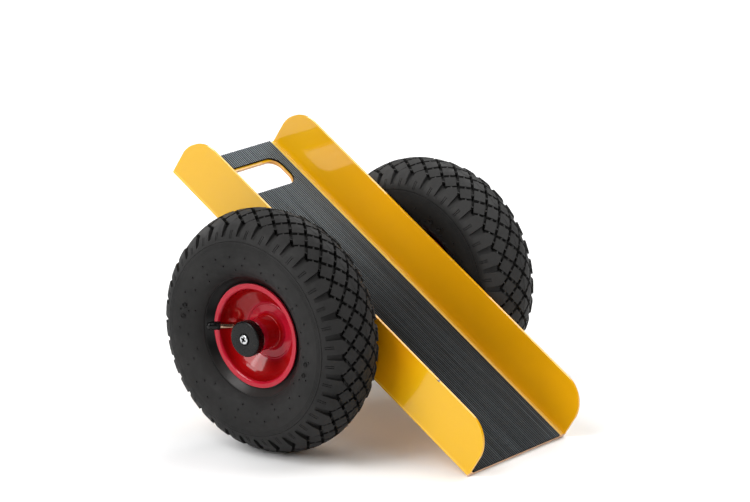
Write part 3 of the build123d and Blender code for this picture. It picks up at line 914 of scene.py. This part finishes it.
def start_mark(spot, corners, radius):
    """A small boss on the sidewall, in edit mode with its top selected: the top and the way out."""
    ring, height, out, up = casing_point(spot)
    lift = Vector((out, 0, up))
    foot = Vector((ring, 0, height)) - mark_sink * lift
    bpy.ops.object.select_all(action="DESELECT")
    bpy.ops.mesh.primitive_circle_add(
        vertices=corners, radius=radius, fill_type="NGON", location=foot, rotation=(0, atan2(out, up), 0)
    )
    bpy.ops.object.transform_apply(location=True, rotation=True, scale=True)
    bpy.ops.object.mode_set(mode="EDIT")
    bpy.ops.mesh.select_all(action="SELECT")
    bpy.ops.mesh.extrude_region_move(TRANSFORM_OT_translate={"value": mark_height * lift})
    return foot + mark_height * lift, lift


def spread_mark(count, first_turn):
    """Repeats the boss that is in edit mode round the wheel."""
    bpy.ops.mesh.select_all(action="SELECT")
    bpy.ops.mesh.normals_make_consistent(inside=False)
    last_turn = 2 * pi * (count - 1) / count
    bpy.ops.mesh.spin(steps=count - 1, dupli=True, angle=last_turn, center=(0, 0, 0), axis=(0, 0, 1))
    bpy.ops.object.mode_set(mode="OBJECT")
    mark = bpy.context.object
    mark.rotation_euler = (0, 0, first_turn)
    bpy.ops.object.transform_apply(location=True, rotation=True, scale=True)
    return mark


marks = []
for way in (-1, 1):
    for stub_place, stub_count, first_turn in stub_rows:
        top, lift = start_mark(way * stub_place, stub_corners, stub_radius)
        bpy.ops.transform.resize(value=(stub_taper, stub_taper, stub_taper), center_override=top)
        marks.append(spread_mark(stub_count, first_turn))
    for ring_turn in ring_turns:
        top, lift = start_mark(way * ring_place, ring_corners, ring_radius)
        bpy.ops.mesh.inset(thickness=ring_wall)
        bpy.ops.transform.translate(value=-ring_depth * lift)
        marks.append(spread_mark(ring_count, ring_turn))
take(tyre)
for mark in marks:
    mark.select_set(True)
bpy.ops.object.join()
bpy.ops.object.shade_smooth_by_angle(angle=radians(30))

tyre_rubber, tree, shader, at = new_finish("tyre_rubber")
from_axle = {"Vector": at, "Location": axle_spot}
from_axle = add(tree, "ShaderNodeMapping", from_axle, vector_type="TEXTURE").outputs[0]
across = {0: from_axle, 1: (1, 0, 1)}
across = add(tree, "ShaderNodeVectorMath", across, operation="MULTIPLY").outputs["Vector"]
from_centre = add(tree, "ShaderNodeVectorMath", {0: across}, operation="LENGTH").outputs["Value"]
along, sideways, level = add(tree, "ShaderNodeSeparateXYZ", {"Vector": at}).outputs
bloom = grain(tree, at, 14, 5.0)
rubber = tint(tree, bloom, (0.3, 0.008, 0.0078, 0.0076), (0.7, 0.016, 0.0152, 0.0147))
# Painted light: the left tyre's tread is painted lighter.
on_tread = reach(tree, from_centre, 0.104, 0.112, 0.0, 1.0)
lit_left_side = reach(tree, sideways, 0.0, 0.1, 0.0, 1.0)
rubber = mix(tree, reckon(tree, "MULTIPLY", on_tread, lit_left_side), rubber, (0.024, 0.0235, 0.023))
# Painted shade: the inner sidewalls, below the tread, are painted darker.
from_middle = reckon(tree, "ABSOLUTE", sideways)
shaded_inner_side = reach(tree, from_middle, wheel_offset - 0.036, wheel_offset - 0.028, 1.0, 0.0)
under_tread = reach(tree, from_centre, 0.104, 0.110, 1.0, 0.0)
rubber = mix(tree, reckon(tree, "MULTIPLY", shaded_inner_side, under_tread), rubber, (0.003, 0.0029, 0.0028))
# Round the rim's lip the rubber is painted near black as painted shade, and lighter towards the bottom as a
# painted reflection.
foot = reach(tree, from_centre, 0.0635, 0.0650, 1.0, 0.0)
lit_lower_foot = reach(tree, level, 0.075, 0.110, 1.0, 0.0)
foot_light_and_shade = mix(tree, lit_lower_foot, (0.003, 0.0029, 0.0028), (0.022, 0.0195, 0.0185))
matt = reach(tree, grain(tree, at, 120, 4.0), 0.3, 0.7, 0.58, 0.74)
polish = reach(tree, foot, 0.0, 1.0, 1.0, 0.5)
rubber_look = {
    "Base Color": mix(tree, foot, rubber, foot_light_and_shade),
    "Roughness": reckon(tree, "MULTIPLY", matt, polish),
    "Normal": relief(tree, grain(tree, at, 1100, 3.0), 0.0003, 0.18),
    "Specular IOR Level": 0.22,
}
fill(tree, shader, rubber_look)
tyre.data.materials.append(tyre_rubber)
for hand in hands:
    casing = another(tyre, f"{hand}_tyre_casing")
    set_on_wheel(casing, hand, tyre_turns[hand])
    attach(casing, f"{hand}_wheel")
    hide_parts(f"{hand}_tyre")
bpy.data.objects.remove(tyre)

# Air tubes: smooth moulded rings of black rubber inside the tyres. The rubber foot of each
# valve is bonded to its tube.
tube_rubber, tree, shader, at = new_finish("air_tube_rubber")
cloud = grain(tree, at, 40, 4.0)
tube_look = {
    "Base Color": tint(tree, cloud, (0.3, 0.018, 0.018, 0.018), (0.7, 0.030, 0.030, 0.030)),
    "Roughness": reach(tree, grain(tree, at, 200), 0.3, 0.7, 0.45, 0.60),
}
fill(tree, shader, tube_look)
for hand in hands:
    nodes[f"{hand}_inner_tube"].material_slots[0].material = tube_rubber
    nodes[f"{hand}_valve_base"].material_slots[0].material = tube_rubber

# Valves: smooth bent brass stems that come through the outer bowls. A moulded black cap with
# a fluted grip is screwed on each.
valve_tip = Vector((0.052, 0, 0.042))
valve_lean = radians(38)
tip_way = Vector((sin(valve_lean), 0, cos(valve_lean)))
cap_length = 0.0138
cap_radius = 0.0045
cap_bore = 0.0036
cap_neck = cap_radius - 0.0005
grip_length = 0.0092
flute_steps = 48
flute_share = 0.93
brass, tree, shader, at = new_finish("valve_brass")
cloud = grain(tree, at, 220, 4.0)
brass_look = {
    "Base Color": tint(tree, cloud, (0.3, 0.44, 0.27, 0.18), (0.7, 0.50, 0.32, 0.23)),
    "Roughness": reach(tree, cloud, 0.3, 0.7, 0.14, 0.20),
    "Metallic": 1.0,
}
fill(tree, shader, brass_look)
black_plastic, tree, shader, at = new_finish("moulded_black_plastic")
cloud = grain(tree, at, 70, 4.0)
plastic_look = {
    "Base Color": tint(tree, cloud, (0.3, 0.0025, 0.0025, 0.0025), (0.7, 0.0045, 0.0045, 0.0045)),
    "Roughness": reach(tree, grain(tree, at, 350, 3.0), 0.3, 0.7, 0.22, 0.30),
    "Normal": relief(tree, grain(tree, at, 1800, 2.0), 0.0001, 0.12),
    "Specular IOR Level": 0.2,
}
fill(tree, shader, plastic_look)
cap_line = (
    (cap_bore, 0.0),
    (cap_radius - 0.0004, 0.0),
    (cap_radius, 0.0005),
    (cap_radius, grip_length),
    (cap_neck, grip_length + 0.0005),
    (cap_neck, cap_length - 0.0026),
    (cap_radius - 0.0008, cap_length - 0.0014),
    (cap_radius - 0.0016, cap_length - 0.0005),
    (cap_radius - 0.0028, cap_length - 0.0001),
    (0.0, cap_length),
)
valve_cap = turned("valve_cap", cap_line, (), flute_steps)
take(valve_cap)
bpy.ops.object.mode_set(mode="EDIT")
pick(
    valve_cap,
    "verts",
    lambda at: 0.0003 < at.z < grip_length + 0.0003
    and round(atan2(at.y, at.x) / (2 * pi) * flute_steps) % 2 == 0,
)
bpy.ops.transform.resize(value=(flute_share, flute_share, 1), center_override=(0, 0, 0))
bpy.ops.object.mode_set(mode="OBJECT")
bpy.ops.object.shade_smooth_by_angle(angle=radians(40))
valve_cap.data.materials.append(black_plastic)
for hand in hands:
    nodes[f"{hand}_valve_stem"].material_slots[0].material = brass
    nodes[f"{hand}_valve_core"].material_slots[0].material = brass
    lid = another(valve_cap, f"{hand}_fluted_valve_cap")
    lid.location = valve_tip - tip_way * cap_length
    lid.rotation_euler = (0, valve_lean, 0)
    bpy.ops.object.transform_apply(location=True, rotation=True, scale=True)
    set_on_wheel(lid, hand, valve_turns[hand])
    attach(lid, f"{hand}_wheel")
    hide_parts(f"{hand}_valve_cap")
bpy.data.objects.remove(valve_cap)

# End caps: black plastic discs pushed over the ends of the axle, each held by a zinc plated
# screw with a domed head and a cross recess.
cap_foot = 0.0328
cap_face = 0.0428
cap_edge = 0.019
socket_radius = 0.0101
socket_floor = 0.0368
screw_hole = 0.0032
screw_radius = 0.003
screw_tip = 0.0228
seat = 0.0398
head_radius = 0.0052
head_height = 0.0046
head_top = seat + head_height
recess = 0.0063
cross_length = 0.0077
cross_width = 0.0024
cross_block = 0.004
cross_corner = 0.0003
cross_taper = (0.7, 0.8, 1)
screw_edge = 0.00012
screw_turns = {"left": radians(20), "right": radians(64)}
disc_line = (
    (socket_radius, cap_foot),
    (cap_edge, cap_foot),
    (cap_edge, cap_face),
    (recess, cap_face),
    (recess, seat),
    (screw_hole, seat),
    (screw_hole, socket_floor),
    (socket_radius, socket_floor),
    (socket_radius, cap_foot),
)
disc_rounds = (
    ((cap_edge, cap_face), 0.0018),
    ((cap_edge, cap_foot), 0.0006),
    ((recess, cap_face), 0.0003),
)
disc = turned("end_cap", disc_line, disc_rounds)
take(disc)
bpy.ops.object.shade_smooth_by_angle(angle=radians(30))
disc.data.materials.append(black_plastic)
screw_line = (
    (screw_radius, screw_tip),
    (screw_radius, seat),
    (head_radius, seat),
    (head_radius, head_top - 0.0012),
    (0.96 * head_radius, head_top - 0.0006),
    (0.86 * head_radius, head_top - 0.0002),
    (0.7 * head_radius, head_top),
    (0.0, head_top),
)
screw = turned("cap_screw", screw_line, (), 64)
take(screw)
bpy.ops.object.mode_set(mode="EDIT")
pick(screw, "verts", lambda at: at.z < screw_tip + touch)
bpy.ops.mesh.edge_face_add()
bpy.ops.mesh.select_all(action="SELECT")
bpy.ops.mesh.normals_make_consistent(inside=False)
bpy.ops.object.mode_set(mode="OBJECT")
for turn in (0, pi / 2):
    blade = rounded_block(cross_length, cross_width, cross_block, cross_corner, (0, 0, head_top))
    take(blade)
    bpy.ops.object.mode_set(mode="EDIT")
    pick(blade, "faces", lambda at: at.z < head_top - cross_block / 2 + touch)
    bpy.ops.transform.resize(value=cross_taper, center_override=(0, 0, head_top))
    bpy.ops.object.mode_set(mode="OBJECT")
    blade.rotation_euler = (0, 0, turn)
    bpy.ops.object.transform_apply(location=True, rotation=True, scale=True)
    cut(screw, blade, "DIFFERENCE")
soften(screw, screw_edge, 2, 40)

screw_zinc, tree, shader, at = new_finish("screw_zinc")
sideways = add(tree, "ShaderNodeSeparateXYZ", {"Vector": at}).outputs["Y"]
from_middle = reckon(tree, "ABSOLUTE", sideways)
head_face = wheel_offset + head_top
# Painted shade and grime: the cross recess and the head's side, more than a millimetre below the head's
# top, are painted near black.
lit_head_top = reach(tree, from_middle, head_face - 0.0011, head_face - 0.0003, 0.0, 1.0)
plate = tint(tree, grain(tree, at, 300, 3.0), (0.3, 0.50, 0.51, 0.52), (0.7, 0.62, 0.63, 0.64))
screw_look = {
    "Base Color": mix(tree, lit_head_top, (0.02, 0.02, 0.02), plate),
    "Roughness": reach(tree, grain(tree, at, 900), 0.3, 0.7, 0.22, 0.34),
    "Metallic": 1.0,
}
fill(tree, shader, screw_look)
screw.data.materials.append(screw_zinc)
for hand in hands:
    lid = another(disc, f"{hand}_axle_end_cap")
    set_on_wheel(lid, hand)
    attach(lid, "chassis")
    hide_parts(f"{hand}_end_cap")
    bolt = another(screw, f"{hand}_cross_head_screw")
    set_on_wheel(bolt, hand, screw_turns[hand])
    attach(bolt, "chassis")
    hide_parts(f"{hand}_cap_screw")
for pattern in (disc, screw):
    bpy.data.objects.remove(pattern)

# Studio: a wide white floor under nine soft box lights, eight of them aimed at the cart and one
# at the floor behind it, with the camera where the photograph was taken.
floor_size = 24
floor_level = -0.0002
bpy.ops.object.select_all(action="DESELECT")
bpy.ops.mesh.primitive_plane_add(size=floor_size, location=(0, 0, floor_level))
floor = bpy.context.object
floor.name = "studio_floor"
white, tree, shader, at = new_finish("white_floor")
floor_look = {
    "Base Color": tint(tree, grain(tree, at, 3.0), (0.3, 0.86, 0.86, 0.86), (0.7, 0.88, 0.88, 0.88)),
    "Roughness": 0.9,
    "Specular IOR Level": 0.1,
}
fill(tree, shader, floor_look)
floor.data.materials.append(white)

world = bpy.data.worlds.new("studio")
bpy.context.scene.world = world
world.use_nodes = True
sky = world.node_tree
way_up = sky.nodes.new("ShaderNodeTexCoord").outputs["Generated"]
way_up = add(sky, "ShaderNodeSeparateXYZ", {"Vector": way_up}).outputs["Z"]
sky_look = {"Color": (1, 1, 1, 1), "Strength": reach(sky, way_up, 0.0, 1.0, 0.02, 0.04)}
fill(sky, sky.nodes["Background"], sky_look)


def box_light(name, place, aim, width, height, power):
    """A soft box light that faces a point."""
    bpy.ops.object.light_add(type="AREA", location=place)
    lamp = bpy.context.object
    lamp.name = name
    lamp.rotation_euler = (Vector(aim) - Vector(place)).to_track_quat("-Z", "Y").to_euler()
    lamp.data.shape = "RECTANGLE"
    lamp.data.size = width
    lamp.data.size_y = height
    lamp.data.energy = power


cart_middle = (0, 0, 0.1)
box_light("key_light", (-0.955, -2.05, 1.455), cart_middle, 0.95, 0.95, 20)
box_light("fill_light", (-0.284, -2.704, 1.368), cart_middle, 1.3, 1.3, 30)
box_light("high_light", (-0.416, -1.67, 2.557), cart_middle, 1.3, 1.3, 39)
box_light("right_light", (1.41, 0.987, 2.557), cart_middle, 1.5, 1.5, 46)
box_light("low_right_light", (2.704, -0.284, 1.368), cart_middle, 1.3, 1.3, 15)
box_light("left_light", (-2.704, 0.284, 1.368), cart_middle, 1.3, 1.3, 32)
box_light("top_light", (0, 0, 3.1), cart_middle, 1.3, 1.3, 10)
box_light("back_light", (-0.2, 2.36, 1.98), cart_middle, 2.6, 1.0, 36)
box_light("backdrop_light", (-1.3, 2.1, 2.4), (-1.3, 2.1, 0), 1.6, 1.6, 24)

camera_data = bpy.data.cameras.new("photo_camera")
camera = bpy.data.objects.new("photo_camera", camera_data)
bpy.context.scene.collection.objects.link(camera)
camera.location = (2.44953, -3.03113, 1.26189)
camera.rotation_euler = (radians(74.6331), radians(0.6205), radians(38.7566))
camera_data.sensor_fit = "HORIZONTAL"
camera_data.sensor_width = 36
camera_data.lens = 183.283
camera_data.clip_end = 100
bpy.context.scene.camera = camera
bpy.context.scene.view_settings.view_transform = "Standard"
